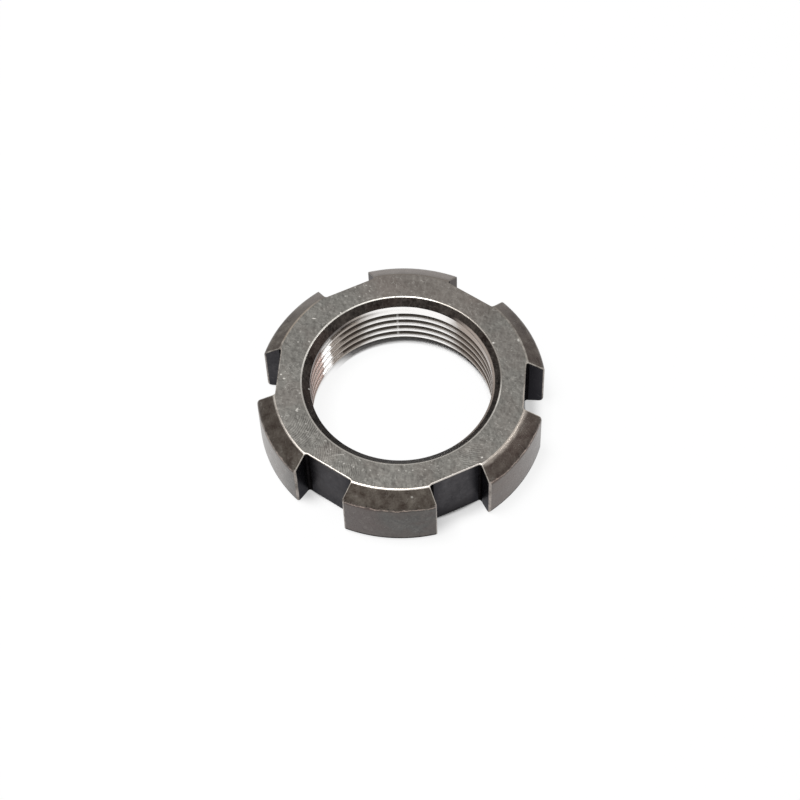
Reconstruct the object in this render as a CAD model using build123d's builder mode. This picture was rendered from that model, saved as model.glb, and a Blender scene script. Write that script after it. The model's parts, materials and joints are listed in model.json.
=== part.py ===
"""Slotted round lock nut with a fine thread, for a hook spanner.

One turned steel ring. Its flat annular face and its wide conical edge look up, six shallow
slots are cut in from the outside, and the threaded bore is countersunk at both ends.

Frame: millimetres, +Z up along the bore, origin at the centre of the bottom face.
The middle of one slot lies on +X.
"""

import os

from build123d import *

# Ring
outer_diameter = 41.9
height = 10.1

# Conical edge of the top face, and the rounding where it meets the rim
top_face_diameter = 36.9
cone_height = 1.75
cone_edge_radius = 1.2

# Rounding where the rim meets the bottom face
bottom_edge_radius = 0.8

# Thread, M28 x 1.5. The bore of the solid has the thread's minor diameter.
thread_major_diameter = 28.0
thread_pitch = 1.5
thread_depth_per_pitch = 0.5413

# Countersink at each end of the bore, a little wider than the thread
countersink_diameter = 28.9
countersink_depth = 0.92

# Spanner slots
slot_count = 6
slot_depth = 3.13
slot_floor_width = 7.95
slot_mouth_width = 8.1
slot_corner_radius = 0.35

# Rounding of the lugs' upright corners, left by use
lug_corner_radius = 0.3

# Sizes that follow
outer_radius = outer_diameter / 2
top_face_radius = top_face_diameter / 2
minor_radius = thread_major_diameter / 2 - thread_depth_per_pitch * thread_pitch
countersink_radius = countersink_diameter / 2
slot_floor_radius = outer_radius - slot_depth

# One slot's cutter, floor at the left. It is twice as deep as the slot, so it runs past the rim.
cutter_depth = 2 * slot_depth
cutter_mouth_width = 2 * slot_mouth_width - slot_floor_width
with BuildSketch() as slot_cutter:
    with BuildLine():
        Polyline(
            (0, -slot_floor_width / 2),
            (cutter_depth, -cutter_mouth_width / 2),
            (cutter_depth, cutter_mouth_width / 2),
            (0, slot_floor_width / 2),
            close=True,
        )
    make_face()
    fillet(slot_cutter.vertices().group_by(Axis.X)[0], radius=slot_corner_radius)

with BuildPart() as lock_nut:
    # Section of the ring, turned about the bore's axis
    with BuildSketch(Plane.XZ) as section:
        with BuildLine():
            Polyline(
                (minor_radius, countersink_depth),
                (countersink_radius, 0),
                (outer_radius, 0),
                (outer_radius, height - cone_height),
                (top_face_radius, height),
                (countersink_radius, height),
                (minor_radius, height - countersink_depth),
                close=True,
            )
        make_face()
        rim_corners = section.vertices().group_by(Axis.X)[-1].sort_by(Axis.Y)
        fillet(rim_corners[0], radius=bottom_edge_radius)
        fillet(rim_corners[-1], radius=cone_edge_radius)
    revolve(axis=Axis.Z)

    # Slots through the rim from top to bottom, evenly spaced, with rounded corners at their mouths
    with BuildSketch(Plane.XY) as outline:
        Circle(outer_radius)
        with PolarLocations(slot_floor_radius, slot_count):
            add(slot_cutter.sketch, mode=Mode.SUBTRACT)
        middle_of_slots = slot_floor_radius + slot_depth / 2
        lug_corners = [corner for corner in outline.vertices() if corner.center().length > middle_of_slots]
        fillet(lug_corners, radius=lug_corner_radius)
    extrude(amount=height, mode=Mode.INTERSECT)

lock_nut.part.label = "lock_nut"

os.makedirs("parts", exist_ok=True)
export_step(lock_nut.part, "parts/lock_nut.step")
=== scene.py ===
"""Looks of a slotted round lock nut: worn black steel, a bright thread, a pale floor and soft light.

Shapes are worked out in millimetres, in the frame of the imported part, and are written to their
meshes in metres.
"""

import json
import logging
import math
from collections.abc import Callable, Iterable, Sequence
from dataclasses import dataclass, field, replace
from enum import Enum
from functools import cached_property
from typing import Any, Optional, Union

import bmesh
import bpy
from mathutils import Matrix, Vector
from mathutils.geometry import delaunay_2d_cdt


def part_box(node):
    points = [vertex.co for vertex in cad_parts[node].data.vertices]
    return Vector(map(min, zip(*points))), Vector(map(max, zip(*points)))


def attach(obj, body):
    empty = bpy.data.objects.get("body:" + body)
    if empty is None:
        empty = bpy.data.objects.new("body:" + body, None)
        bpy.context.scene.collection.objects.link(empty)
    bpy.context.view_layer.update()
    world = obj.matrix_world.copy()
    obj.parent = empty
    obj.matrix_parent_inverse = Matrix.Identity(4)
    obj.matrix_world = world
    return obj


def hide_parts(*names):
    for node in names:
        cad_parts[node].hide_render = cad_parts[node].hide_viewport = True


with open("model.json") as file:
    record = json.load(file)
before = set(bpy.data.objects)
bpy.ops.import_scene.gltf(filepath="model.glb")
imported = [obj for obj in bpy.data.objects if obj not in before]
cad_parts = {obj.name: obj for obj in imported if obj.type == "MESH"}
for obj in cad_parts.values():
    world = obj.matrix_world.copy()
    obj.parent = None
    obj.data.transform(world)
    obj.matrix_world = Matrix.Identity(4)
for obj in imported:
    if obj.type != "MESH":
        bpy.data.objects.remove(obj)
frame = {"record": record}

LOG = logging.getLogger("lock_nut")

MM = 0.001
NODE = "lock_nut"
WHITE = (1.0, 1.0, 1.0)
IN_PLAN = (1.0, 1.0, 0.0)

# Kind of result of the triangulation: only the triangles inside the edges
INSIDE_EDGES = 1

Point = tuple[float, float, float]
Colour = tuple[float, float, float]
Span = tuple[float, float]


class Zone(Enum):
    """Part of the nut's skin that has a finish of its own, numbered as its material slot."""

    FACE = 0
    CONE = 1
    RIM = 2
    SLOT = 3
    EDGE = 4
    COUNTERSINK = 5
    THREAD = 6
    UNDERSIDE = 7
    CORNER = 8
    LIP = 9
    NOOK = 10
    FOOT = 11


class Hand(Enum):
    """Way a thread turns: +1 climbs anticlockwise seen from above."""

    RIGHT = 1
    LEFT = -1


def tone(red: float, green: float, blue: float) -> Colour:
    """Turns a colour as a screen shows it, 0 to 255 a channel, into the linear values of a shader."""
    shares = (channel / 255 for channel in (red, green, blue))
    return tuple(s / 12.92 if s <= 0.04045 else ((s + 0.055) / 1.055) ** 2.4 for s in shares)


def turned(x: float, y: float, degrees: float) -> tuple[float, float]:
    """Turns a plan point about the bore's axis, anticlockwise seen from above."""
    c, s = math.cos(math.radians(degrees)), math.sin(math.radians(degrees))
    return c * x - s * y, s * x + c * y


def ease(value: float, low: float, high: float) -> float:
    """Smooth step of a value from 0 at low to 1 at high."""
    share = min(1.0, max(0.0, (value - low) / (high - low)))
    return share * share * (3 - 2 * share)


def eased_corner(start: Vector, corner: Vector, end: Vector, steps: int) -> list[Vector]:
    """Rounds a corner with a parabola of so many spans that leaves and meets its two sides in line."""
    shares = [step / steps for step in range(steps + 1)]
    return [start * (1 - t) ** 2 + corner * 2 * t * (1 - t) + end * t ** 2 for t in shares]


def heading(azimuth: float, elevation: float) -> Vector:
    """Direction at an angle in plan and an angle above it, in degrees."""
    flat, upwards = turned(1, 0, elevation)
    return Vector((*turned(flat, 0, azimuth), upwards))


def placed(name: str, data: bpy.types.ID) -> bpy.types.Object:
    """Puts a mesh, a light or a camera in the scene.

    Args:
        name: name of its object.
        data: the mesh, light or camera.

    Returns:
        The object.
    """
    made = bpy.data.objects.new(name, data)
    bpy.context.scene.collection.objects.link(made)
    return made


@dataclass(frozen=True)
class Ring:
    """Sizes of the turned ring and its slots, in millimetres."""

    outer_radius: float
    height: float
    minor_radius: float
    top_face_radius: float = 18.45
    cone_height: float = 1.75
    cone_edge_radius: float = 1.2
    face_edge_half_width: float = 0.14
    bottom_edge_radius: float = 0.8
    worn_edge_length: float = 0.165
    countersink_radius: float = 14.38
    countersink_depth: float = 0.92
    slot_count: int = 6
    slot_depth: float = 3.13
    slot_floor_width: float = 7.95
    slot_mouth_width: float = 8.1
    slot_corner_radius: float = 0.35
    lug_corner_radius: float = 0.3

    @property
    def floor_distance(self) -> float:
        """Distance of a slot's floor from the axis."""
        return self.outer_radius - self.slot_depth

    @property
    def flare(self) -> float:
        """Sideways run of a slot's wall for each millimetre outwards."""
        return (self.slot_mouth_width - self.slot_floor_width) / 2 / self.slot_depth

    @property
    def sector(self) -> float:
        """Angle from one slot to the next, in degrees."""
        return 360 / self.slot_count

    @property
    def cone_slope(self) -> float:
        """Fall of the conical edge for each millimetre outwards."""
        return self.cone_height / (self.outer_radius - self.top_face_radius)

    @property
    def countersink_slope(self) -> float:
        """Fall of a countersink for each millimetre inwards."""
        return self.countersink_depth / (self.countersink_radius - self.minor_radius)

    @property
    def shoulder_turn(self) -> float:
        """Angle through which the shoulder turns from the rim to the conical edge, in radians."""
        return math.pi / 2 - math.atan(self.cone_slope)

    @property
    def shoulder_inset(self) -> float:
        """Distance from the rim at which the rounded shoulder meets the conical edge."""
        return self.cone_edge_radius * (1 - math.cos(self.shoulder_turn))

    @property
    def shoulder_foot(self) -> float:
        """Height at which the rounded shoulder meets the rim."""
        meeting = self.outer_radius - self.shoulder_inset - self.top_face_radius
        return self.height - self.cone_slope * meeting - self.cone_edge_radius * math.sin(self.shoulder_turn)

    def top(self, radius: float) -> float:
        """Height of the top surface: flat, then conical, then the rounded shoulder above the rim.

        Args:
            radius: distance from the axis.

        Returns:
            The height above the bottom face.
        """
        past = radius - self.top_face_radius
        half = self.face_edge_half_width
        if past <= -half:
            return self.height
        if past < half:
            return self.height - self.cone_slope * (past + half) ** 2 / (4 * half)
        if radius <= self.outer_radius - self.shoulder_inset:
            return self.height - self.cone_slope * past
        across = min(self.cone_edge_radius, radius - self.outer_radius + self.cone_edge_radius)
        return self.shoulder_foot + math.sqrt(self.cone_edge_radius ** 2 - across ** 2)

    def bottom(self, radius: float) -> float:
        """Height of the bottom surface at a radius: flat, then the rounding under the rim."""
        size = self.bottom_edge_radius
        return size - math.sqrt(size ** 2 - min(size, max(0.0, radius - self.outer_radius + size)) ** 2)

    def countersink(self, z: float) -> float:
        """Radius of the countersink at a height, or 0 between the two.

        Args:
            z: height above the bottom face.

        Returns:
            The radius.
        """
        depth = min(z, self.height - z)
        if depth > self.countersink_depth:
            return 0.0
        return self.countersink_radius - depth / self.countersink_slope

    def margin(self, x: float, y: float) -> float:
        """Distance of a plan point of a lug from the lug's walls and rim.

        Args:
            x: first plan coordinate.
            y: second plan coordinate.

        Returns:
            The shortest of the distances, negative outside.
        """
        radius = math.hypot(x, y)
        nearest = round(math.degrees(math.atan2(y, x)) / self.sector) * self.sector
        out, side = turned(x, y, -nearest)
        wall = abs(side) - self.slot_floor_width / 2 - self.flare * (out - self.floor_distance)
        return min(wall, self.outer_radius - radius)


@dataclass(frozen=True)
class Station:
    """A point of the nut's outline in plan, with its outward direction.

    Its rim share is 0 in a slot and 1 on the rim. A nook is the fillet between a slot's floor and wall.
    """

    x: float
    y: float
    out_x: float
    out_y: float
    rim: float
    nook: bool = False

    def turned(self, degrees: float) -> "Station":
        """The same station turned about the axis."""
        place = (*turned(self.x, self.y, degrees), *turned(self.out_x, self.out_y, degrees))
        return Station(*place, self.rim, self.nook)

    def mirrored(self) -> "Station":
        """The same station mirrored about the plan's first axis."""
        return replace(self, y=-self.y, out_y=-self.out_y)

    def inset(self, amount: float) -> tuple[float, float]:
        """The plan point that lies the given amount inside the outline."""
        return self.x - self.out_x * amount, self.y - self.out_y * amount


@dataclass(frozen=True)
class Outline:
    """The nut's outline in plan, worked out from the middle of a slot to the middle of a lug."""

    ring: Ring
    line_step: float = 0.3
    wall_step: float = 0.12
    corner_steps: int = 6
    corner_reach: float = 1.5
    rim_step_degrees: float = 0.6

    def half_sector(self) -> list[Station]:
        """Stations from the middle of the slot on the first axis to the middle of the next lug.

        Returns:
            The stations in order.
        """
        ring = self.ring
        lean = math.atan(ring.flare)
        along = Vector((math.cos(lean), math.sin(lean)))
        out = Vector((math.sin(lean), -math.cos(lean)))
        root = Vector((ring.floor_distance, ring.slot_floor_width / 2))

        # Fillet between floor and wall, its middle in the slot
        fillet = ring.slot_corner_radius
        middle = Vector((root.x + fillet, root.y + fillet * (math.sin(lean) - 1) / math.cos(lean)))
        stations = []
        for step in range(int(middle.y / self.line_step) + 1):
            y = middle.y * step / (int(middle.y / self.line_step) + 1)
            stations.append(Station(root.x, y, 1.0, 0.0, 0.0))
        first, last = math.pi, math.pi / 2 + lean
        for step in range(self.corner_steps + 1):
            angle = first + (last - first) * step / self.corner_steps
            direction = Vector((math.cos(angle), math.sin(angle)))
            stations.append(Station(*(middle + direction * fillet), *-direction, 0.0, nook=True))
        wall_start = middle - out * fillet

        # Rounding between wall and rim, its middle in the lug
        round_off = ring.lug_corner_radius
        base = root - out * round_off
        reach = ring.outer_radius - round_off
        forward = -base.dot(along) + math.sqrt(base.dot(along) ** 2 - base.length_squared + reach ** 2)
        corner = base + along * forward
        wall_end = corner + out * round_off
        spans = max(1, round((wall_end - wall_start).length / self.wall_step))
        for step in range(1, spans):
            stations.append(Station(*wall_start.lerp(wall_end, step / spans), *out, 0.0))
        first = math.atan2(out.y, out.x)
        last = math.atan2(corner.y, corner.x)
        for step in range(self.corner_steps):
            share = step / self.corner_steps
            angle = first + (last - first) * share
            place = corner + Vector((math.cos(angle), math.sin(angle))) * round_off
            inwards = first + (lean - first) * share
            stations.append(Station(*place, math.cos(inwards), math.sin(inwards), ease(share, 0, 1)))

        # Rim, from the corner to the middle of the lug
        start = math.degrees(last)
        spans = round((ring.sector / 2 - start) / self.rim_step_degrees)
        for step in range(spans + 1):
            angle = math.radians(start + (ring.sector / 2 - start) * step / spans)
            place = Vector((math.cos(angle), math.sin(angle))) * ring.outer_radius
            share = ease((angle - last) * ring.outer_radius, 0, self.corner_reach)
            inwards = lean + (angle - lean) * share
            stations.append(Station(*place, math.cos(inwards), math.sin(inwards), 1.0))
        return stations

    def stations(self) -> list[Station]:
        """Stations of the whole outline, anticlockwise.

        Returns:
            The stations, each once.
        """
        half = self.half_sector()
        back = [station.mirrored() for station in reversed(half[1:-1])]
        whole = []
        for index in range(self.ring.slot_count):
            whole += [station.turned(self.ring.sector * index) for station in half]
            whole += [station.turned(self.ring.sector * (index + 1)) for station in back]
        return whole


@dataclass
class Skin:
    """Faces gathered for one closed mesh, with the zone of each."""

    points: list[Point] = field(default_factory=list)
    faces: list[tuple[int, ...]] = field(default_factory=list)
    zones: list[Zone] = field(default_factory=list)
    closeness: float = 1e-7
    weld: float = 2e-4

    def loop(self, points: Iterable[Sequence[float]]) -> list[int]:
        """Adds points.

        Args:
            points: the points, in order.

        Returns:
            Their numbers in the mesh.
        """
        first = len(self.points)
        self.points += [tuple(point) for point in points]
        return list(range(first, len(self.points)))

    def face(self, corners: Sequence[int], zone: Zone) -> None:
        """Adds one face."""
        self.faces.append(tuple(corners))
        self.zones.append(zone)

    def bridge(self, lower: Sequence[int], upper: Sequence[int], zones: Sequence[Zone]) -> None:
        """Joins two closed loops of as many points with four-sided faces.

        Args:
            lower: numbers of the first loop.
            upper: numbers of the second loop.
            zones: zone of each face.
        """
        for index, zone in enumerate(zones):
            after = (index + 1) % len(zones)
            self.face((lower[index], lower[after], upper[after], upper[index]), zone)

    def cap(self, outer: Sequence[int], inner: Sequence[int], arcs: Sequence[Sequence[int]],
            zone_at: Callable[[float], Zone]) -> None:
        """Fills the space in plan between two closed loops with triangles.

        Args:
            outer: numbers of the outer loop.
            inner: numbers of the inner loop.
            arcs: open rows of points in between that edges have to follow.
            zone_at: gives the zone for a distance from the axis.
        """
        numbers = [number for row in (outer, inner, *arcs) for number in row]
        place = {number: index for index, number in enumerate(numbers)}
        rows = [[*outer, outer[0]], [*inner, inner[0]], *arcs]
        edges = [(place[start], place[end]) for row in rows for start, end in zip(row, row[1:])]
        flat = [Vector(self.points[number][:2]) for number in numbers]
        _, _, triangles, origin, _, _ = delaunay_2d_cdt(flat, edges, [], INSIDE_EDGES, self.closeness)
        hole = min(flat[place[number]].length for number in inner)
        for triangle in triangles:
            corners = [numbers[origin[corner][0]] for corner in triangle]
            x = sum(self.points[corner][0] for corner in corners) / 3
            y = sum(self.points[corner][1] for corner in corners) / 3
            radius = math.hypot(x, y)
            if radius > hole:
                self.face(corners, zone_at(radius))

    def mesh(self, name: str) -> bpy.types.Mesh:
        """Writes the skin as a mesh in metres, with double points joined.

        Args:
            name: name of the mesh.

        Returns:
            The mesh.
        """
        bm = bmesh.new()
        corners = [bm.verts.new(Vector(point) * MM) for point in self.points]
        for face, zone in zip(self.faces, self.zones):
            made = bm.faces.new([corners[corner] for corner in face])
            made.material_index = zone.value
            made.smooth = True
        bmesh.ops.remove_doubles(bm, verts=bm.verts, dist=self.weld * MM)
        bmesh.ops.delete(bm, geom=[v for v in bm.verts if not v.link_faces], context="VERTS")
        bmesh.ops.recalc_face_normals(bm, faces=bm.faces)
        open_edges = sum(not edge.is_manifold for edge in bm.edges)
        LOG.info("%s: %d faces, %d open edges", name, len(bm.faces), open_edges)
        mesh = bpy.data.meshes.new(name)
        bm.to_mesh(mesh)
        bm.free()
        return mesh


@dataclass(frozen=True)
class Body:
    """Outside of the nut: rim, slots, conical edge and the two flat faces."""

    ring: Ring
    skin: Skin
    edge_steps: int = 6
    arc_step_degrees: float = 0.6
    cone_row: float = 0.5
    clearance: float = 0.22
    corner_start: float = 0.05
    corner_end: float = 0.98

    def build(self, top_hole: Sequence[int], bottom_hole: Sequence[int]) -> None:
        """Adds the outside to the skin.

        Args:
            top_hole: loop where the bore meets the top face.
            bottom_hole: loop where the bore meets the bottom face.
        """
        skin = self.skin
        stations = Outline(self.ring).stations()
        columns = [self.column(station) for station in stations]
        loops = [skin.loop(column[row] for column in columns) for row in range(len(columns[0]))]
        steps = self.edge_steps
        for row in range(len(loops) - 1):
            zones = [self.zone(station, row >= steps + 1, row < steps) for station in stations]
            skin.bridge(loops[row], loops[row + 1], zones)
        skin.cap(loops[-1], top_hole, self.arcs(), self.top_zone)
        skin.cap(loops[0], bottom_hole, [], lambda radius: Zone.UNDERSIDE)

    def column(self, station: Station) -> list[Point]:
        """Points up the side at one station, from the bottom face to the top one.

        Args:
            station: place on the outline.

        Returns:
            The points, from below.
        """
        ring = self.ring
        worn = ring.worn_edge_length
        column = []
        for step in range(self.edge_steps + 1):
            turn = math.pi / 2 * (1 - step / self.edge_steps)
            size = worn + (ring.bottom_edge_radius - worn) * station.rim
            x, y = station.inset(size * (1 - math.cos(turn)))
            lift = worn * (1 - math.sin(turn)) * (1 - station.rim)
            column.append((x, y, ring.bottom(math.hypot(x, y)) + lift))
        for step in range(self.edge_steps + 1):
            share = step / self.edge_steps
            shoulder = ring.cone_edge_radius * (1 - math.cos(ring.shoulder_turn * share))
            depth = shoulder * station.rim + worn * share ** 2 * (1 - station.rim)
            drop = worn * (1 - share) ** 2 * (1 - station.rim)
            x, y = station.inset(depth)
            column.append((x, y, ring.top(math.hypot(x, y)) - drop))
        return column

    def zone(self, station: Station, upper_edge: bool, lower_edge: bool) -> Zone:
        """Zone of a face of the side.

        Args:
            station: place on the outline.
            upper_edge: whether the face rounds the top edge.
            lower_edge: whether the face rounds the bottom edge.

        Returns:
            The zone.
        """
        if lower_edge:
            return Zone.FOOT
        if station.nook and not upper_edge:
            return Zone.NOOK
        if self.corner_start < station.rim < self.corner_end:
            return Zone.CORNER
        if station.rim >= self.corner_end:
            return Zone.RIM
        return Zone.EDGE if upper_edge else Zone.SLOT

    def top_zone(self, radius: float) -> Zone:
        """Zone of the top surface.

        Args:
            radius: distance from the axis.

        Returns:
            The zone.
        """
        past = radius - self.ring.top_face_radius
        if abs(past) < self.ring.face_edge_half_width:
            return Zone.EDGE
        return Zone.CONE if past > 0 else Zone.FACE

    def arcs(self) -> list[list[int]]:
        """Rows of points across each lug that keep the conical edge round.

        Returns:
            The numbers of each row.
        """
        ring = self.ring
        half = ring.face_edge_half_width
        radii = [ring.top_face_radius + half * share for share in (-1, -0.5, 0, 0.5, 1)]
        while radii[-1] + self.cone_row < ring.outer_radius - self.cone_row:
            radii.append(radii[-1] + self.cone_row)
        count = round(ring.sector / self.arc_step_degrees)
        rows = []
        for sector in range(ring.slot_count):
            for radius in radii:
                angles = (ring.sector * (sector + step / count) for step in range(count + 1))
                plan = [turned(radius, 0, angle) for angle in angles]
                plan = [(x, y) for x, y in plan if ring.margin(x, y) > self.clearance]
                rows.append(self.skin.loop((x, y, ring.top(math.hypot(x, y))) for x, y in plan))
        return rows


@dataclass(frozen=True)
class Thread:
    """Fine thread of the bore, with 60 degree flanks and flat crests and roots."""

    minor_radius: float
    major_radius: float = 14.0
    pitch: float = 1.5
    hand: Hand = Hand.LEFT
    crest_height: float = 4.62
    crest_angle: float = 97.0
    crest_half: float = 0.175
    flank: float = 0.28
    softness: float = 0.12
    last_full: float = 7.75
    run_out: float = 0.7
    rows: tuple[float, ...] = (0.0, 0.07, 0.115, 0.15, 0.2, 0.26, 0.32, 0.39, 0.45)

    def lift(self, angle: float) -> float:
        """Height that the thread gains from its marked crest to an angle, in millimetres."""
        return self.hand.value * self.pitch * (angle - self.crest_angle) / 360

    def radius(self, angle: float, z: float) -> float:
        """Radius of the bore's wall.

        Args:
            angle: angle about the axis, in degrees.
            z: height above the bottom face.

        Returns:
            The radius.
        """
        base = self.crest_height + self.lift(angle)
        turns = (z - base) / self.pitch
        past = (abs(turns - round(turns)) - self.crest_half) / self.flank
        soft = self.softness
        depth = (math.hypot(past, soft) - math.hypot(past - 1, soft) + 1) / 2
        groove = base + self.pitch * (math.floor(turns) + 0.5)
        depth *= 1 - ease(groove, self.last_full, self.last_full + self.run_out)
        return self.minor_radius + (self.major_radius - self.minor_radius) * depth

    def heights(self, angle: float, low: float, high: float) -> list[float]:
        """Heights of the rows that follow the thread, held within a band.

        Args:
            angle: angle about the axis, in degrees.
            low: lower limit.
            high: upper limit.

        Returns:
            The heights from below, as many at every angle.
        """
        first = math.floor((low - self.crest_height) / self.pitch) - 2
        last = math.ceil((high - self.crest_height) / self.pitch) + 2
        phases = sorted({-row for row in self.rows} | set(self.rows)) + [0.5]
        base = self.crest_height + self.lift(angle)
        heights = [base + self.pitch * (turn + phase) for turn in range(first, last) for phase in phases]
        return [min(high, max(low, height)) for height in heights]


@dataclass(frozen=True)
class Bore:
    """Bore of the nut: its thread and the countersinks at both ends."""

    ring: Ring
    thread: Thread
    skin: Skin
    columns: int = 480
    edge_steps: int = 4
    edge_length: float = 0.12
    cone_rows: int = 3

    def angles(self) -> list[float]:
        """Angles of the columns, the first one again at the end."""
        return [360 * column / self.columns for column in range(self.columns + 1)]

    def build(self) -> tuple[list[int], list[int]]:
        """Adds the bore to the skin.

        Returns:
            The loops where it meets the top and bottom faces.
        """
        ring = self.ring
        lead = (ring.countersink_radius - self.thread.major_radius) * ring.countersink_slope
        sunk = ring.countersink_depth
        top = self.mouth(ring.height, -1, lead)
        bottom = self.mouth(0.0, 1, lead)
        limits = [lead, sunk, ring.height - sunk, ring.height - lead]
        for low, high in zip(limits, limits[1:]):
            self.band(low, high)
        return top, bottom

    def mouth(self, face: float, inwards: int, lead: float) -> list[int]:
        """Adds the worn edge and the plain part of one countersink.

        Args:
            face: height of the flat face.
            inwards: +1 where the bore goes up from the face, -1 where it goes down.
            lead: depth of the countersink where the thread's roots run out.

        Returns:
            The loop on the flat face.
        """
        ring = self.ring
        slope = ring.countersink_slope
        run = self.edge_length / math.hypot(1, slope)
        start = Vector((ring.countersink_radius + self.edge_length, 0))
        end = Vector((ring.countersink_radius - run, run * slope))
        profile = eased_corner(start, Vector((ring.countersink_radius, 0)), end, self.edge_steps)
        for row in range(1, self.cone_rows + 1):
            depth = end.y + (lead - end.y) * row / self.cone_rows
            profile.append(Vector((ring.countersink_radius - depth / slope, depth)))
        loops = []
        for radius, depth in profile:
            plan = [turned(radius, 0, angle) for angle in self.angles()[:-1]]
            loops.append(self.skin.loop((x, y, face + inwards * depth) for x, y in plan))
        for row, (upper, lower) in enumerate(zip(loops, loops[1:])):
            zone = Zone.LIP if row < self.edge_steps else Zone.COUNTERSINK
            self.skin.bridge(upper, lower, [zone] * self.columns)
        return loops[0]

    def band(self, low: float, high: float) -> None:
        """Adds the wall between two heights, in rows that follow the thread.

        Args:
            low: lower limit.
            high: upper limit.
        """
        before = None
        for angle in self.angles():
            heights = self.thread.heights(angle, low, high)
            column = []
            for z in heights:
                radius = max(self.thread.radius(angle, z), self.ring.countersink(z))
                column.append((*turned(radius, 0, angle), z))
            after = self.skin.loop(column), heights
            if before:
                self.strip(before, after, angle)
            before = after

    def strip(self, before: tuple, after: tuple, angle: float) -> None:
        """Joins two neighbouring columns of the wall.

        Args:
            before: numbers and heights of the first column.
            after: numbers and heights of the second column.
            angle: angle of the second column.
        """
        (left, left_z), (right, right_z) = before, after
        for row in range(len(left) - 1):
            if left_z[row] == left_z[row + 1] and right_z[row] == right_z[row + 1]:
                continue
            z = (left_z[row] + left_z[row + 1] + right_z[row] + right_z[row + 1]) / 4
            sunk = self.ring.countersink(z) > self.thread.radius(angle, z)
            zone = Zone.COUNTERSINK if sunk else Zone.THREAD
            self.skin.face((left[row], right[row], right[row + 1], left[row + 1]), zone)


@dataclass(frozen=True)
class Wire:
    """A value on its way between shader nodes. Arithmetic on it adds Math nodes."""

    bench: "Bench"
    socket: bpy.types.NodeSocket

    def __add__(self, other: "Value") -> "Wire":
        """Sum."""
        return self.bench.maths("ADD", self, other)

    def __sub__(self, other: "Value") -> "Wire":
        """Difference."""
        return self.bench.maths("SUBTRACT", self, other)

    def __rsub__(self, other: "Value") -> "Wire":
        """Difference from a number."""
        return self.bench.maths("SUBTRACT", other, self)

    def __mul__(self, other: "Value") -> "Wire":
        """Product."""
        return self.bench.maths("MULTIPLY", self, other)

    __radd__ = __add__
    __rmul__ = __mul__

    def ease(self, low: float, high: float) -> "Wire":
        """Smooth step from 0 at low to 1 at high."""
        sockets = {"Value": self, "From Min": low, "From Max": high}
        return self.bench.wire("ShaderNodeMapRange", {"interpolation_type": "SMOOTHSTEP"}, sockets, "Result")

    def swing(self, size: float) -> "Wire":
        """A noise moved about 0, with its whole range made as large as the size."""
        return (self - 0.5) * size

    def held(self) -> "Wire":
        """The value held between 0 and 1."""
        return self.bench.wire("ShaderNodeClamp", {}, {"Value": self}, "Result")


Value = Union[Wire, float]


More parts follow.
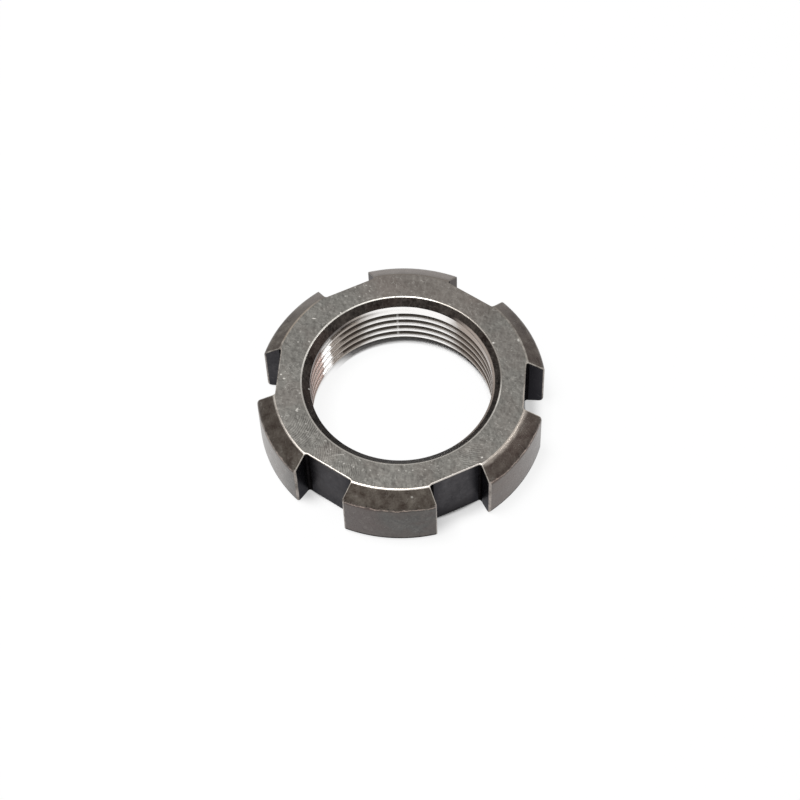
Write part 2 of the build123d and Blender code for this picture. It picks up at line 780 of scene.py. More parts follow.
class Bench:
    """The node tree of a material or of the room's light, and the ways to add to it."""

    def __init__(self, owner: Union[bpy.types.Material, bpy.types.World]) -> None:
        """Empties the owner's node tree.

        Args:
            owner: the material or the room.
        """
        owner.use_nodes = True
        self.owner = owner
        self.tree = owner.node_tree
        self.tree.nodes.clear()

    @classmethod
    def material(cls, name: str) -> "Bench":
        """Starts a material of that name."""
        return cls(bpy.data.materials.new(name))

    @cached_property
    def place(self) -> Wire:
        """The point of the surface in the part's frame, in millimetres."""
        point = self.wire("ShaderNodeTexCoord", {}, {}, "Object")
        return self.vector("MULTIPLY", point, (1 / MM, 1 / MM, 1 / MM))

    @cached_property
    def radius(self) -> Wire:
        """Distance of the point from the bore's axis."""
        return self.length(self.vector("MULTIPLY", self.place, IN_PLAN))

    @cached_property
    def height(self) -> Wire:
        """Height of the point above the bottom face."""
        return self.along((0.0, 0.0, 1.0))

    @cached_property
    def cloud(self) -> Wire:
        """Coarse noise."""
        return self.noise(0.22, 4.0, 0.6)

    @cached_property
    def mottle(self) -> Wire:
        """Noise in between coarse and fine."""
        return self.noise(1.1, 3.0, 0.6)

    @cached_property
    def grain(self) -> Wire:
        """Fine noise."""
        return self.noise(4.0, 3.0, 0.7)

    def add(self, kind: str, settings: dict[str, Any], sockets: dict[Any, Any]) -> bpy.types.Node:
        """Adds a node.

        Args:
            kind: type of the node.
            settings: its own settings, made first.
            sockets: values or wires of its input sockets, by name or place.

        Returns:
            The node.
        """
        node = self.tree.nodes.new(kind)
        for name, value in settings.items():
            setattr(node, name, value)
        for key, value in sockets.items():
            socket = node.inputs[key]
            if isinstance(value, Wire):
                self.tree.links.new(value.socket, socket)
            elif isinstance(value, tuple) and socket.type == "RGBA":
                socket.default_value = (*value, 1.0)
            else:
                socket.default_value = value
        return node

    def wire(self, kind: str, settings: dict[str, Any], sockets: dict[Any, Any], output: Any = 0) -> Wire:
        """Adds a node and returns one of its outputs."""
        return Wire(self, self.add(kind, settings, sockets).outputs[output])

    def maths(self, operation: str, *values: Value) -> Wire:
        """Adds a Math node."""
        return self.wire("ShaderNodeMath", {"operation": operation}, dict(enumerate(values)))

    def vector(self, operation: str, *values: Any, output: Any = 0) -> Wire:
        """Adds a Vector Math node."""
        return self.wire("ShaderNodeVectorMath", {"operation": operation}, dict(enumerate(values)), output)

    def length(self, vector: Wire) -> Wire:
        """Length of a vector."""
        return self.vector("LENGTH", vector, output="Value")

    def along(self, axis: Point) -> Wire:
        """Coordinate of the surface's point along an axis."""
        return self.vector("DOT_PRODUCT", self.place, axis, output="Value")

    def around(self, radius: float, azimuth: float) -> Wire:
        """The surface's point measured from a spot at that radius and azimuth in plan."""
        return self.vector("SUBTRACT", self.place, (*turned(radius, 0, azimuth), 0.0))

    def mix(self, share: Value, first: Any, second: Any) -> Wire:
        """Mixes two colours, the second by the given share."""
        return self.wire("ShaderNodeMix", {"data_type": "RGBA"}, {0: share, 6: first, 7: second}, 2)

    def blend(self, share: Value, first: Wire, second: Wire) -> Wire:
        """Mixes two shaders, the second by the given share."""
        return self.wire("ShaderNodeMixShader", {}, {0: share, 1: first, 2: second})

    def noise(self, scale: float, detail: float = 2.0, roughness: float = 0.5,
              place: Optional[Wire] = None, output: int = 0) -> Wire:
        """Noise with so many features a millimetre, read at a place. Output 0 is a value, 1 a colour."""
        sockets = {"Vector": place or self.place, "Scale": scale, "Detail": detail, "Roughness": roughness}
        return self.wire("ShaderNodeTexNoise", {}, sockets, output)

    def moved(self, turn: float, stretch: Point = (1.0, 1.0, 1.0), shift: Point = (0.0, 0.0, 0.0),
              place: Optional[Wire] = None) -> Wire:
        """Turns, stretches and shifts a place before a texture reads it.

        Args:
            turn: angle about the bore's axis, in degrees.
            stretch: factor along each axis, after the turn.
            shift: added last.
            place: the place, or else the surface's own point.

        Returns:
            The new place.
        """
        sockets = {"Vector": place or self.place, "Angle": math.radians(turn)}
        rotated = self.wire("ShaderNodeVectorRotate", {"rotation_type": "Z_AXIS"}, sockets)
        return self.vector("MULTIPLY_ADD", rotated, stretch, shift)

    def backdrop(self) -> Wire:
        """1 where a surface is seen as the picture's background, straight on or mirrored, else 0."""
        rays = ("Is Camera Ray", "Is Glossy Ray", "Is Transmission Ray")
        return sum(self.wire("ShaderNodeLightPath", {}, {}, ray) for ray in rays).held()

    def bump(self, height: Wire, strength: float, depth: float = 0.02) -> Wire:
        """Turns a height map, 0 to 1 for a depth in millimetres, into a surface direction."""
        sockets = {"Strength": strength, "Distance": depth * MM, "Height": height}
        return self.wire("ShaderNodeBump", {}, sockets, "Normal")

    def metal(self, colour: Wire, roughness: Wire, normal: Wire,
              edge_tint: Colour = WHITE) -> bpy.types.Material:
        """Ends the material in a metallic shader.

        Args:
            colour: colour of the metal.
            roughness: its roughness.
            normal: direction of the surface.
            edge_tint: share of the light that it mirrors at a grazing angle.

        Returns:
            The material.
        """
        sockets = {"Base Color": colour, "Roughness": roughness, "Metallic": 1.0, "Specular Tint": edge_tint,
                   "Normal": normal}
        shader = self.wire("ShaderNodeBsdfPrincipled", {}, sockets, "BSDF")
        self.add("ShaderNodeOutputMaterial", {}, {"Surface": shader})
        return self.owner


@dataclass(frozen=True)
class Sector:
    """Side of the nut: whole up to the inner angle from its azimuth, gone beyond the outer, in degrees."""

    azimuth: float
    inner: float
    outer: float

    def mask(self, bench: Bench, place: Optional[Wire] = None) -> Wire:
        """Mask of the sector.

        Args:
            bench: the material's bench.
            place: where it is read, or else the surface's own point.

        Returns:
            The mask, 0 to 1.
        """
        flat = bench.vector("NORMALIZE", bench.vector("MULTIPLY", place or bench.place, IN_PLAN))
        towards = bench.vector("DOT_PRODUCT", flat, (*turned(1, 0, self.azimuth), 0.0), output="Value")
        return towards.ease(math.cos(math.radians(self.outer)), math.cos(math.radians(self.inner)))


@dataclass(frozen=True)
class Patch(Sector):
    """Sector of a finish that differs in tone above a height."""

    colour: Colour
    share: float
    height: float = 0.0
    fade: float = 0.2

    def over(self, bench: Bench, colour: Wire) -> Wire:
        """Lays the patch over a colour.

        Args:
            bench: the material's bench.
            colour: the colour so far.

        Returns:
            The new colour.
        """
        mask = self.mask(bench) * self.share
        if self.height:
            mask = mask * bench.height.ease(self.height - self.fade, self.height)
        return bench.mix(mask, colour, self.colour)


@dataclass(frozen=True)
class Nick:
    """Small bright dent, with its place and size in millimetres and degrees."""

    azimuth: float
    radius: float
    length: float = 0.4
    width: float = 0.25
    turn: float = 0.0
    strength: float = 1.0
    fade: Span = (0.4, 1.2)

    def mask(self, bench: Bench) -> Wire:
        """Mask of the dent.

        Args:
            bench: the material's bench.

        Returns:
            The mask, 0 to 1.
        """
        centred = bench.around(self.radius, self.azimuth)
        shaped = bench.moved(-self.turn, (2 / self.length, 2 / self.width, 0.0), place=centred)
        return (1 - bench.length(shaped).ease(*self.fade)) * self.strength


@dataclass(frozen=True)
class Print:
    """Patch of fine curved rubbing marks, with its place and the middle of its curves."""

    azimuth: float
    radius: float
    middle_azimuth: float
    middle_radius: float
    reach: float = 2.6
    scale: float = 0.95
    distortion: float = 8.0
    raggedness: float = 3.0

    def marks(self, bench: Bench) -> Wire:
        """Height of the marks.

        Args:
            bench: the material's bench.

        Returns:
            The height, -1 to 1 in the patch and 0 outside.
        """
        sockets = {
            "Vector": bench.around(self.middle_radius, self.middle_azimuth), "Scale": self.scale,
            "Distortion": self.distortion, "Detail": 2.0, "Detail Scale": 0.4, "Detail Roughness": 0.6}
        rings = bench.wire("ShaderNodeTexWave", {"wave_type": "RINGS", "rings_direction": "Z"}, sockets, 1)
        flat = bench.vector("MULTIPLY", bench.around(self.radius, self.azimuth), IN_PLAN)
        away = bench.length(flat) + bench.noise(0.6).swing(self.raggedness)
        return rings.swing(2) * (1 - away.ease(self.reach * 0.4, self.reach))


@dataclass(frozen=True)
class Oxide:
    """Black oxide on steel, rubbed lighter where the nut has been handled."""

    name: str
    dark: Colour
    light: Colour
    stain: Colour
    stained: float = 0.3
    stain_span: Span = (0.45, 0.62)
    cloud_range: float = 0.8
    mottle_range: float = 0.7
    grain_range: float = 0.35
    contrast: float = 1.0
    painted_relief_strength: float = 1.1
    bare: Colour = tone(196, 193, 187)
    scratches: float = 0.2
    specks: float = 0.0
    printed: float = 0.26
    roughness: float = 0.34
    bumpiness: float = 0.35
    edge_tint: Colour = WHITE
    nicks: tuple[Nick, ...] = ()
    prints: tuple[Print, ...] = ()
    patches: tuple[Patch, ...] = ()
    smooth_side: Sector = Sector(40.0, 45, 80)
    smoothness: float = 0.75
    streak_turns: tuple[float, ...] = (12.0, 57.0, 98.0, 151.0)
    streak_span: Span = (0.66, 0.75)
    streaked_span: Span = (0.48, 0.6)

    def dress(self) -> bpy.types.Material:
        """Makes the material.

        Returns:
            The material.
        """
        bench = Bench.material(self.name)
        shade = bench.cloud.swing(self.cloud_range) + bench.mottle.swing(self.mottle_range)
        shade = shade + bench.grain.swing(self.grain_range)
        # Painted light and shade of small bumps is laid into the colour here
        shade = shade * self.contrast + self.painted_relief(bench) * self.painted_relief_strength + 0.5
        for rubbed in self.prints:
            shade = shade + rubbed.marks(bench) * self.printed
        colour = bench.mix(shade.held(), self.dark, self.light)
        stain = bench.noise(1.0, 3.0, 0.6, bench.moved(40, (0.16, 0.16, 0.3)))
        colour = bench.mix(stain.ease(*self.stain_span) * self.stained, colour, self.stain)
        for patch in self.patches:
            colour = patch.over(bench, colour)
        lines = self.lines(bench)
        colour = bench.mix(lines * self.scratches, self.tint(bench, colour), self.bare)
        if self.specks:
            colour = self.pocked(bench, colour)
        height = bench.grain * 0.5 + bench.mottle * 0.3 - lines * 0.3
        for nick in self.nicks:
            dent = nick.mask(bench)
            colour = bench.mix(dent, colour, self.bare)
            height = height - dent * 0.6
        rough = self.roughness + bench.mottle.swing(0.15) - lines * 0.06
        return bench.metal(colour, rough, bench.bump(height, self.bumpiness), self.edge_tint)

    def painted_relief(self, bench: Bench) -> Wire:
        """Painted light and shade on the sides of small bumps, around 0."""
        beside = bench.vector("ADD", bench.place, (0.2, 0.12, 0.0))
        return bench.noise(1.4, 2.0, 0.6) - bench.noise(1.4, 2.0, 0.6, beside)

    def tint(self, bench: Bench, colour: Wire) -> Wire:
        """Changes the colour by the place on the nut. The plain finish leaves it."""
        return colour

    def lines(self, bench: Bench) -> Wire:
        """Short crossing scratches, curled a little, and specks.

        Args:
            bench: the material's bench.

        Returns:
            Their mask, 0 to 1.
        """
        curl = bench.noise(0.5, 1.0, output=1)
        curled = bench.vector("MULTIPLY_ADD", curl, (2.6, 2.6, 0.0), bench.place)
        contour = bench.maths("ABSOLUTE", bench.noise(0.8, 1.0, place=curled) - 0.5)
        curls = (1 - contour.ease(0.006, 0.022)) * bench.noise(0.6, 1.0).ease(0.54, 0.66) * 0.7
        total = bench.maths("MAXIMUM", bench.noise(2.1, 1.0, 0.4).ease(0.69, 0.78) * 0.8, curls)
        for index, turn in enumerate(self.streak_turns):
            streaks = bench.moved(turn, (1.0, 7.0, 1.0), (0.0, 0.0, 7.0 * index), curled)
            patches = bench.moved(turn, (0.3, 0.3, 0.3), (5.0 * index, 0.0, 0.0))
            streak = bench.noise(1.0, 1.0, place=streaks).ease(*self.streak_span)
            patch = bench.noise(1.0, 1.0, place=patches).ease(*self.streaked_span)
            total = bench.maths("MAXIMUM", total, streak * patch)
        return total

    def pocked(self, bench: Bench, colour: Wire) -> Wire:
        """Sprinkles bright specks and dark pits over a colour, fewer on the smooth side.

        Args:
            bench: the material's bench.
            colour: the colour so far.

        Returns:
            The new colour.
        """
        share = (1 - self.smooth_side.mask(bench) * self.smoothness) * self.specks
        specks = bench.noise(1.9, place=bench.moved(65)).ease(0.66, 0.74)
        pits = bench.noise(1.5, place=bench.moved(115)).ease(0.68, 0.76)
        return bench.mix(pits * share, bench.mix(specks * share, colour, self.bare), self.dark)


@dataclass(frozen=True)
class Shoulder(Oxide):
    """Oxide that is brown on the conical edge and grey on the rim, with a worn line in between."""

    face_radius: float = 18.45
    brown: Colour = tone(58, 50, 45)
    brown_light: Colour = tone(100, 94, 87)
    brown_height: float = 8.45
    grey_height: float = 8.1
    worn: Colour = tone(172, 156, 146)
    worn_height: float = 8.155
    # Colour of the dark pits and of the painted shade along the rim's foot
    foot: Colour = tone(26, 25, 24)
    foot_height: float = 1.0
    far: Colour = tone(96, 89, 83)
    far_side: Sector = Sector(95.0, 45, 80)
    far_span: Span = (0.0, 1.3)
    rubbed: Colour = tone(150, 142, 134)
    lighter_side: Sector = Sector(332.0, 18, 32)
    rubbed_span: Span = (0.1, 0.65)
    brown_patches: tuple[Patch, ...] = ()

    def tint(self, bench: Bench, colour: Wire) -> Wire:
        """Browns the conical edge, wears its border and paints shade along the rim's foot.

        Args:
            bench: the material's bench.
            colour: the colour so far.

        Returns:
            The new colour.
        """
        mottle = bench.noise(1.3, 2.0, 0.6)
        ragged = bench.height + bench.cloud.swing(0.8) + mottle.swing(0.5) + bench.grain.swing(0.2)
        colour = bench.mix(ragged.ease(self.grey_height, self.brown_height), colour, self.browned(bench))
        rubbed = bench.noise(1.4, 3.0, 0.6, bench.moved(0, (1.0, 1.0, 3.0))).ease(0.34, 0.56)
        middle = self.worn_height
        line = ragged.ease(middle - 0.1, middle) * (1 - ragged.ease(middle + 0.02, middle + 0.14))
        colour = bench.mix(line * rubbed * 0.85, colour, self.worn)
        pit = ragged.ease(middle + 0.1, middle + 0.2) * (1 - ragged.ease(middle + 0.24, middle + 0.4))
        colour = bench.mix(pit * bench.noise(1.7).ease(0.55, 0.66) * 0.6, colour, self.foot)
        # Painted shade along the foot of the rim
        low = bench.height + mottle.swing(0.5) + bench.grain.swing(0.3)
        shadow = 1 - low.ease(self.foot_height - 0.25, self.foot_height)
        return bench.mix(shadow * 0.8, colour, self.foot)

    def browned(self, bench: Bench) -> Wire:
        """Colour of the conical edge, lighter along its inner border on two sides.

        Args:
            bench: the material's bench.

        Returns:
            The colour.
        """
        blotch = bench.noise(0.6, 3.0, 0.6)
        shade = blotch.swing(2.5) + bench.grain.swing(1.1) + 0.5
        brown = bench.mix(shade.held(), self.brown, self.brown_light)
        for patch in self.brown_patches:
            brown = patch.over(bench, brown)
        past = bench.radius - self.face_radius
        inner = 1 - (past + blotch.swing(1.6)).ease(*self.far_span)
        brown = bench.mix(inner * self.far_side.mask(bench) * 0.8, brown, self.far)
        border = 1 - (past + blotch.swing(0.9)).ease(*self.rubbed_span)
        return bench.mix(border * self.lighter_side.mask(bench) * 0.85, brown, self.rubbed)


@dataclass(frozen=True)
class CountersinkOxide(Oxide):
    """Oxide in the countersinks, rubbed off on one side next to the thread."""

    bright: Colour = tone(160, 149, 141)
    bright_side: Sector = Sector(3.0, 38, 60)
    bright_radii: Span = (13.44, 13.56)

    def tint(self, bench: Bench, colour: Wire) -> Wire:
        """Brightens the inner border on one side."""
        border = 1 - (bench.radius + bench.grain.swing(0.15)).ease(*self.bright_radii)
        return bench.mix(border * self.bright_side.mask(bench) * 0.9, colour, self.bright)


@dataclass(frozen=True)
class SlotOxide(Oxide):
    """Oxide in the slots, with painted shade that is darkest in the corners and along the foot and lightest
    in the middle of a slot's floor.
    """

    slot_count: int = 6
    half_width: float = 3.98
    corner_width: float = 2.2
    fading_radii: Span = (18.4, 20.6)
    foot_height: float = 4.0
    slot_shade: Colour = tone(41, 40, 44)
    lighter_side: Sector = Sector(90.0, 22, 28)
    lit_side: Sector = Sector(170.0, 12, 20)

    def tint(self, bench: Bench, colour: Wire) -> Wire:
        """Paints shade on the walls, into the corners and along the foot of the slots.

        Args:
            bench: the material's bench.
            colour: the colour so far.

        Returns:
            The new colour.
        """
        x = bench.along((1.0, 0.0, 0.0))
        y = bench.along((0.0, 1.0, 0.0))
        sector = 2 * math.pi / self.slot_count
        nearest = bench.maths("ROUND", bench.maths("ARCTAN2", y, x) * (1 / sector)) * sector
        cosine = bench.maths("COSINE", nearest)
        sine = bench.maths("SINE", nearest)
        side = bench.maths("ABSOLUTE", y * cosine - x * sine) + bench.cloud.swing(1.2)
        out = x * cosine + y * sine
        # Painted shade into the corners, weaker on two sides, and painted shade along the foot
        corner = side.ease(self.half_width - self.corner_width, self.half_width)
        corner = corner * (1 - out.ease(*self.fading_radii) * 0.25)
        corner = corner * (1 - self.lighter_side.mask(bench) * 0.85) * (1 - self.lit_side.mask(bench) * 0.6)
        foot = 1 - (bench.height + bench.cloud.swing(2)).ease(0.0, self.foot_height)
        return bench.mix((corner * 0.95 + foot * 0.45).held(), colour, self.slot_shade)


@dataclass(frozen=True)
class WornEdge:
    """Edge rubbed down to bare steel, in uneven patches."""

    name: str
    oxide: Colour
    bare: Colour
    roughness: float = 0.37
    unworn: float = 0.36
    worn: float = 0.6
    patches: tuple[Patch, ...] = ()

    def dress(self) -> bpy.types.Material:
        """Makes the material.

        Returns:
            The material.
        """
        bench = Bench.material(self.name)
        fine = bench.noise(2.5, 2.0, 0.6)
        wear = (bench.noise(0.6, 3.0, 0.6) * 0.7 + fine * 0.3).ease(self.unworn, self.worn)
        colour = bench.mix(wear, self.oxide, self.bare)
        for patch in self.patches:
            colour = patch.over(bench, colour)
        return bench.metal(colour, self.roughness + fine.swing(0.15), bench.bump(fine, 0.15))


@dataclass(frozen=True)
class CutThread:
    """Machined thread: bright crests, and grooves dark with oil and painted shade, which painted highlights
    and a painted reflection wash out on one side.
    """

    name: str
    minor_radius: float
    crest: Colour = tone(254, 252, 250)
    dull: Colour = tone(158, 149, 141)
    warm: Colour = tone(158, 136, 128)
    beige: Colour = tone(158, 143, 132)
    # Groove colours: oil together with painted shade
    oil_and_shade: Colour = tone(78, 73, 68)
    thick_oil_and_shade: Colour = tone(62, 55, 50)
    oil_and_shade_depth: float = 0.2
    dirt_and_shade: Colour = tone(58, 49, 46)
    # Sectors: bright_side paints light on the far crests, shine a painted highlight with painted glare on
    # the sector beside it, warm_side a warm painted reflection
    bright_side: Sector = Sector(89.0, 18, 38)
    shine: Sector = Sector(151.5, 3, 6.5)
    glare_side: Sector = Sector(144.0, 3, 9)
    warm_side: Sector = Sector(175.0, 17, 22)
    cross_mark: Sector = Sector(97.5, 0.3, 0.9)
    stained_side: Sector = Sector(22.0, 20, 38)
    darker_top_side: Sector = Sector(187.0, 48, 64)
    border_side: Sector = Sector(355.0, 42, 58)
    dim_side: Sector = Sector(192.0, 12, 18)
    stained_heights: Span = (7.2, 8.0)
    darker_top_heights: Span = (8.35, 8.6)
    border_heights: Span = (8.88, 9.0)
    raggedness: float = 1.4
    roughness: float = 0.22
    glare_clearing: float = 0.85
    mark_cleaned: float = 0.25
    glare_side_clearing: float = 0.55
    streak_dirt: float = 0.12
    top_darkening: float = 0.9
    dimming: float = 0.5

    def dress(self) -> bpy.types.Material:
        """Makes the material.

        Returns:
            The material.
        """
        bench = Bench.material(self.name)
        z = bench.height
        fine = bench.noise(1.0, 3.0, 0.6, bench.moved(0, (0.5, 0.5, 6.0)))
        streak = bench.noise(1.0, 3.0, 0.6, bench.moved(0, (0.25, 0.25, 2.2)))
        blotch = bench.noise(0.9, 3.0, 0.6)
        half = self.raggedness / 2
        back = bench.vector("SUBTRACT", bench.place, (half, half, 0.0))
        reach = (self.raggedness, self.raggedness, 0.0)
        ragged = bench.vector("MULTIPLY_ADD", bench.noise(1.6, output=1), reach, back)
        sides = (self.bright_side, self.shine, self.glare_side, self.warm_side, self.stained_side)
        bright, shine, glare, warm, stained = (side.mask(bench, ragged) for side in sides)
        # Painted light on the crests: brighter on the far side and at the painted highlight, and a warm
        # painted reflection on one side
        metal = bench.mix((bright + shine + streak.swing(0.9)).held(), self.dull, self.crest)
        metal = bench.mix((warm * (blotch.swing(1.6) + 0.8)).held(), metal, self.warm)
        metal = bench.mix(stained * (0.3 + z.ease(*self.stained_heights) * 0.6), metal, self.beige)

        # Oil and painted shade in the grooves, washed out by the painted highlight, the glare beside it and
        # the painted reflection
        sunk = (bench.radius - self.minor_radius + fine.swing(0.08)).ease(0.0, self.oil_and_shade_depth)
        oil_and_shade = sunk * (1 - bench.maths("MAXIMUM", warm, shine) * self.glare_clearing)
        oil_and_shade = oil_and_shade * (1 - self.cross_mark.mask(bench) * self.mark_cleaned)
        oil_and_shade = oil_and_shade * (1 - glare * self.glare_side_clearing)
        colour = bench.mix(oil_and_shade, metal, bench.mix(bright, self.thick_oil_and_shade, self.oil_and_shade))

        # Dirt in streaks; darker along the upper border on the left, painted shade along the upper border on
        # the right where the thread runs into the countersink, and a dimmer sector on the left
        colour = bench.mix(streak.ease(0.5, 0.58) * stained * self.streak_dirt, colour, self.dirt_and_shade)
        dirt_and_shade = (z + blotch.swing(0.9)).ease(*self.darker_top_heights) * self.darker_top_side.mask(bench, ragged)
        border = z.ease(*self.border_heights) * self.border_side.mask(bench)
        dirt_and_shade = bench.maths("MAXIMUM", dirt_and_shade, border) * self.top_darkening
        dirt_and_shade = bench.maths("MAXIMUM", dirt_and_shade, self.dim_side.mask(bench) * self.dimming)
        colour = bench.mix(dirt_and_shade, colour, self.dirt_and_shade)
        rough = self.roughness + sunk * 0.15 + fine.swing(0.12)
        return bench.metal(colour, rough, bench.bump(fine, 0.2))


@dataclass(frozen=True)
class Nut:
    """The whole nut: its shape in one closed mesh and a finish for each zone."""

    ring: Ring
    thread: Thread
    slot_name: str = "steel"
    body_name: str = "root"
    shading_weight: int = 80
    nicks: tuple[Nick, ...] = (
        Nick(144.9, 16.63, 0.7, 0.22),
        Nick(132.1, 14.6, 0.3, 0.3),
        Nick(25.3, 18.2, 0.45, 0.6, 20, 0.6),
        Nick(28.8, 14.65, 0.4, 0.35),
        Nick(161.2, 16.36, 0.35, 0.25, 0, 0.5),
        Nick(181.7, 17.33, 0.35, 0.3, 0, 0.8),
        Nick(184.0, 16.85, 0.45, 0.3, 0, 0.8),
        Nick(203.4, 15.65, 0.7, 0.2, 55, 0.7),
        Nick(204.5, 15.8, 0.5, 0.2, -30, 0.6),
        Nick(315.1, 17.6, 0.4, 0.3, 20, 0.9),
        Nick(277.4, 15.5, 0.35, 0.25, 0, 0.4),
        Nick(240.0, 15.5, 2.0, 0.12, 8, 0.5),
    )
    prints: tuple[Print, ...] = (
        Print(217.0, 16.2, 200.0, 20.0, 3.4),
        Print(234.0, 16.4, 222.0, 20.5, 2.8),
        Print(312.0, 16.5, 330.0, 13.5),
        Print(250.0, 16.8, 236.0, 20.0, 1.8),
    )
    grey_patches: tuple[Patch, ...] = (
        # Painted light: the rim of the left-hand lug lighter where light falls on it
        Patch(204.0, 10, 24, tone(143, 135, 129), 0.5),
        Patch(330.0, 16, 24, tone(120, 106, 100), 0.35),
        Patch(258.0, 3, 11, tone(98, 84, 82), 0.4),
    )
    brown_patches: tuple[Patch, ...] = (
        Patch(95.0, 22, 60, tone(128, 120, 115), 0.75),
        Patch(30.0, 14, 24, tone(74, 64, 62), 0.35),
        Patch(330.0, 14, 24, tone(66, 56, 54), 0.4),
        Patch(210.0, 14, 24, tone(58, 51, 47), 0.3),
    )
    # Painted highlights on the near and right-hand edges, dimmer tones on the left, and painted shade on the
    # far lug's edge
    edge_highlights_and_shade: tuple[Patch, ...] = (
        Patch(258.0, 44, 56, tone(162, 156, 149), 0.45),
        Patch(256.0, 34, 52, tone(184, 178, 171), 0.5, 9.95),
        Patch(299.0, 12, 20, tone(206, 200, 194), 0.55, 9.95),
        Patch(338.0, 16, 26, tone(170, 161, 152), 0.7),
        Patch(150.0, 8, 16, tone(148, 137, 124), 0.7),
        Patch(90.0, 38, 56, tone(110, 103, 97), 0.95),
        Patch(212.0, 10, 20, tone(130, 124, 118), 0.35),
    )

    def build(self) -> bpy.types.Object:
        """Builds and dresses the nut and ties it to its node.

        Returns:
            The object.
        """
        skin = Skin()
        top, bottom = Bore(self.ring, self.thread, skin).build()
        Body(self.ring, skin).build(top, bottom)
        nut = placed("lock_nut_skin", skin.mesh("lock_nut_skin"))
        finishes = self.finishes()
        for zone in Zone:
            nut.data.materials.append(finishes[zone].dress())
        nut.modifiers.new("even_shading", "WEIGHTED_NORMAL").weight = self.shading_weight
        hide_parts(NODE)
        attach(nut, self.body_name)
        return nut

    def finishes(self) -> dict[Zone, Union[Oxide, WornEdge, CutThread]]:
        """Finish of each zone.

        Returns:
            The finishes.
        """
        shoulder = Shoulder(
            "brown_and_grey", tone(66, 64, 63), tone(100, 98, 95), tone(84, 72, 68), stained=0.4,
            scratches=0.1, roughness=0.3, nicks=(Nick(279.3, 19.4, 0.4, 0.28, 0, 0.5),),
            patches=self.grey_patches, brown_patches=self.brown_patches,
            face_radius=self.ring.top_face_radius)
        return {
            Zone.FACE: Oxide(
                "rubbed_face", tone(76, 74, 71), tone(132, 130, 125), tone(106, 97, 92), stained=0.25,
                scratches=0.33, specks=0.55, nicks=self.nicks, prints=self.prints,
                patches=(Patch(80.0, 24, 46, tone(110, 98, 92), 0.3),)),
            Zone.CONE: shoulder,
            Zone.RIM: shoulder,
            Zone.SLOT: SlotOxide(
                "black_slot", tone(44, 43, 45), tone(88, 86, 88), tone(58, 55, 54), contrast=1.3,
                scratches=0.03, painted_relief_strength=0.3, edge_tint=(0.6, 0.6, 0.61), slot_count=self.ring.slot_count,
                patches=(Patch(90.0, 20, 30, tone(112, 104, 98), 0.6),)),
            Zone.EDGE: WornEdge(
                "worn_edge", tone(104, 98, 92), tone(154, 149, 142), patches=self.edge_highlights_and_shade),
            Zone.COUNTERSINK: CountersinkOxide(
                "dark_countersink", tone(16, 14, 14), tone(66, 61, 57), tone(50, 36, 33), contrast=1.7,
                scratches=0.05, nicks=(Nick(189.5, 13.3, 0.3, 0.25),)),
            Zone.THREAD: CutThread("cut_thread", self.ring.minor_radius),
            Zone.UNDERSIDE: Oxide(
                "rubbed_underside", tone(74, 72, 70), tone(124, 121, 117), tone(104, 94, 90), stained=0.25,
                scratches=0.4, prints=(Print(60.0, 16.0, 45.0, 20.0), Print(190.0, 16.5, 205.0, 13.0))),
            Zone.CORNER: WornEdge("worn_corner", tone(98, 92, 87), tone(158, 150, 144), roughness=0.32),
            Zone.LIP: WornEdge(
                "worn_lip", tone(140, 136, 130), tone(190, 187, 181), unworn=0.2, worn=0.55,
                # Painted shade on the lip: duller on the near side and on the right
                patches=(Patch(262.0, 65, 95, tone(140, 136, 130), 0.7),
                         Patch(38.0, 30, 46, tone(92, 87, 82), 0.85))),
            # Painted shade in the fillets between slot floor and wall: dark colours and almost no grazing
            # reflection
            Zone.NOOK: Oxide(
                "shaded_nook", tone(24, 23, 24), tone(46, 44, 45), tone(34, 32, 32), scratches=0.0,
                roughness=0.5, edge_tint=(0.08, 0.08, 0.08)),
            # Painted shade on the bottom rounding: dark colours and a low grazing reflection
            Zone.FOOT: Oxide(
                "shaded_foot", tone(28, 26, 25), tone(78, 73, 70), tone(52, 43, 38), contrast=1.5,
                scratches=0.05, roughness=0.45, edge_tint=(0.2, 0.2, 0.2)),
        }


@dataclass(frozen=True)
class Lamp:
    """Square soft light that points at the nut, with lengths in millimetres and power in watts."""

    name: str
    azimuth: float
    elevation: float
    distance: float
    size: float
    power: float

    def build(self) -> None:
        """Hangs the lamp."""
        light = bpy.data.lights.new(self.name, "AREA")
        light.size = self.size * MM
        light.energy = self.power
        away = heading(self.azimuth, self.elevation)
        turn = away.to_track_quat("Z", "Y").to_matrix().to_4x4()
        placed(self.name, light).matrix_world = Matrix.Translation(away * self.distance * MM) @ turn


@dataclass(frozen=True)
class Camera:
    """The photograph's camera: its direction from the nut in degrees, its lengths in millimetres."""

    azimuth: float = -82.92
    elevation: float = 57.38
    roll: float = -2.62
    distance: float = 329.4
    lens: float = 101.8
    sensor: float = 36.0
    slide_right: float = -0.27
    slide_up: float = -0.38
    nearest: float = 10.0

    def build(self, centre: Vector) -> None:
        """Places the camera and makes it the scene's.

        Args:
            centre: middle of the nut, in millimetres.
        """
        away = heading(self.azimuth, self.elevation)
        level = Vector((*turned(0, 1, self.azimuth), 0.0))
        upright = away.cross(level)
        cosine, sine = turned(1, 0, self.roll)
        right = level * cosine + upright * sine
        up = upright * cosine - level * sine
        position = centre + away * self.distance + right * self.slide_right + up * self.slide_up
        settings = bpy.data.cameras.new("camera")
        settings.lens = self.lens
        settings.sensor_width = self.sensor
        settings.clip_start = self.nearest * MM
        camera = placed("camera", settings)
        turn = Matrix((right, up, away)).transposed().to_4x4()
        camera.matrix_world = Matrix.Translation(position * MM) @ turn
        bpy.context.scene.camera = camera


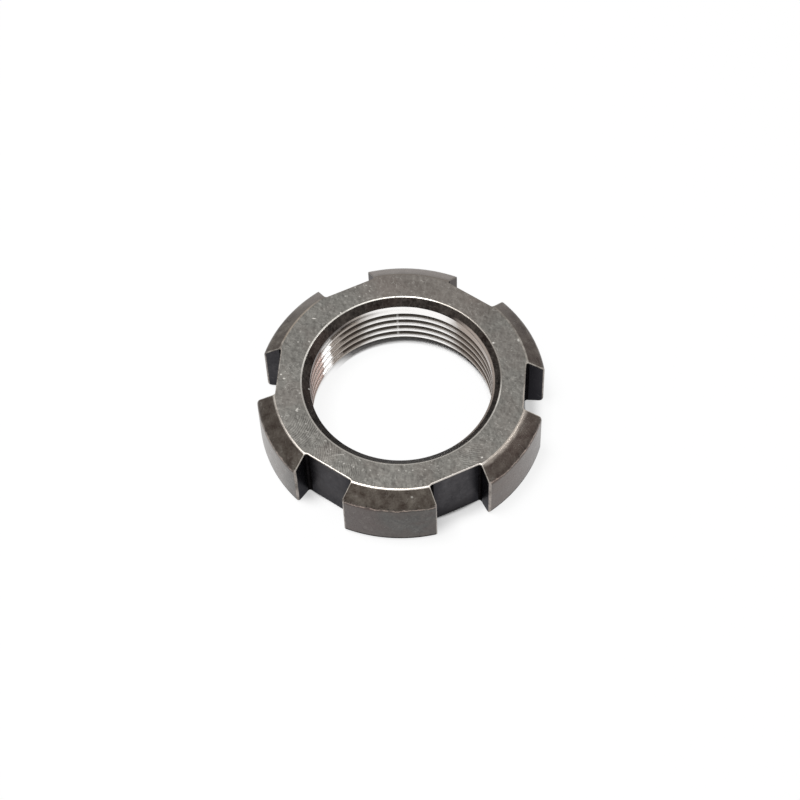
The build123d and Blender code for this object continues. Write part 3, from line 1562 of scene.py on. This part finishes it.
@dataclass(frozen=True)
class Studio:
    """Pale floor, soft lights and the camera."""

    ring: Ring
    floor_size: float = 6000.0
    floor_gap: float = 0.02
    paper: Colour = (0.9, 0.9, 0.9)
    sky_light: float = 0.22
    lit_side: Sector = Sector(165.0, 15, 38)
    bore_glow: float = 0.9
    slot_glow: float = 0.5
    mouth_glow: float = 0.36
    outer_glow: float = 0.08
    lamps: tuple[Lamp, ...] = (
        Lamp("overhead_light", azimuth=189, elevation=76, distance=600, size=200, power=3.6),
        Lamp("side_light", azimuth=10, elevation=43.5, distance=700, size=110, power=0.4),
    )

    def build(self) -> None:
        """Builds the floor, the room's light, the lamps and the camera."""
        self.floor()
        self.sky()
        for lamp in self.lamps:
            lamp.build()
        Camera().build(Vector((0, 0, self.ring.height / 2)))

    def floor(self) -> None:
        """Lays the pale floor that the nut stands on."""
        half = self.floor_size / 2 * MM
        z = -self.floor_gap * MM
        corners = [(-half, -half, z), (half, -half, z), (half, half, z), (-half, half, z)]
        mesh = bpy.data.meshes.new("floor")
        mesh.from_pydata(corners, [], [(0, 1, 2, 3)])
        bench = Bench.material("pale_floor")
        paper = bench.wire("ShaderNodeBsdfDiffuse", {}, {"Color": self.paper}, "BSDF")
        glow = bench.wire("ShaderNodeEmission", {}, {"Color": WHITE, "Strength": 1.0}, "Emission")
        seen = bench.blend(self.glow_share(bench), paper, glow)
        bench.add("ShaderNodeOutputMaterial", {}, {"Surface": bench.blend(bench.backdrop(), paper, seen)})
        mesh.materials.append(bench.owner)
        placed("floor", mesh)

    def glow_share(self, bench: Bench) -> Wire:
        """Share of plain white in the floor, which leaves the faint shadow of the photograph.

        Args:
            bench: the floor's bench.

        Returns:
            The share, high in the bore and from the slots' floors outwards.
        """
        ring = self.ring
        radius = bench.radius
        inside = 1 - radius.ease(ring.minor_radius - 0.4, ring.minor_radius)
        under_thread = 1 - radius.ease(ring.minor_radius, ring.countersink_radius)
        share = bench.maths("MAXIMUM", inside, self.lit_side.mask(bench) * under_thread) * self.bore_glow
        rim = ring.outer_radius + 0.2
        share = share + radius.ease(ring.floor_distance, ring.floor_distance + 0.5) * self.slot_glow
        share = share + radius.ease(ring.floor_distance + 1.0, rim) * self.mouth_glow
        return share + radius.ease(rim, ring.outer_radius + 2.5) * self.outer_glow

    def sky(self) -> None:
        """Fills the room with even light, and shows it as white."""
        bench = Bench(bpy.data.worlds.new("room"))
        light, seen = (bench.wire("ShaderNodeBackground", {}, {"Color": WHITE, "Strength": strength})
                       for strength in (self.sky_light, 1.0))
        bench.add("ShaderNodeOutputWorld", {}, {"Surface": bench.blend(bench.backdrop(), light, seen)})
        bpy.context.scene.world = bench.owner


def nut_from_frame() -> Nut:
    """Reads the nut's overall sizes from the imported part.

    Returns:
        The nut.
    """
    low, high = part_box(NODE)
    mounts = {mount["name"]: mount for mount in frame["record"]["mounts"]}
    minor_radius = mounts["thread"]["dims"]["r_mm"]
    ring = Ring(outer_radius=high[1] / MM, height=(high[2] - low[2]) / MM, minor_radius=minor_radius)
    return Nut(ring, Thread(minor_radius=minor_radius))


def main() -> None:
    """Builds the nut, then the studio round it."""
    logging.basicConfig(level=logging.INFO, format="%(name)s: %(message)s")
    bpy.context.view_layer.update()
    bpy.context.scene.view_settings.view_transform = "Standard"
    nut = nut_from_frame()
    piece = nut.build()
    LOG.info("built %s with %d finishes", piece.name, len(piece.data.materials))
    Studio(nut.ring).build()
    LOG.info("built the studio")


if __name__ == "__main__":
    main()
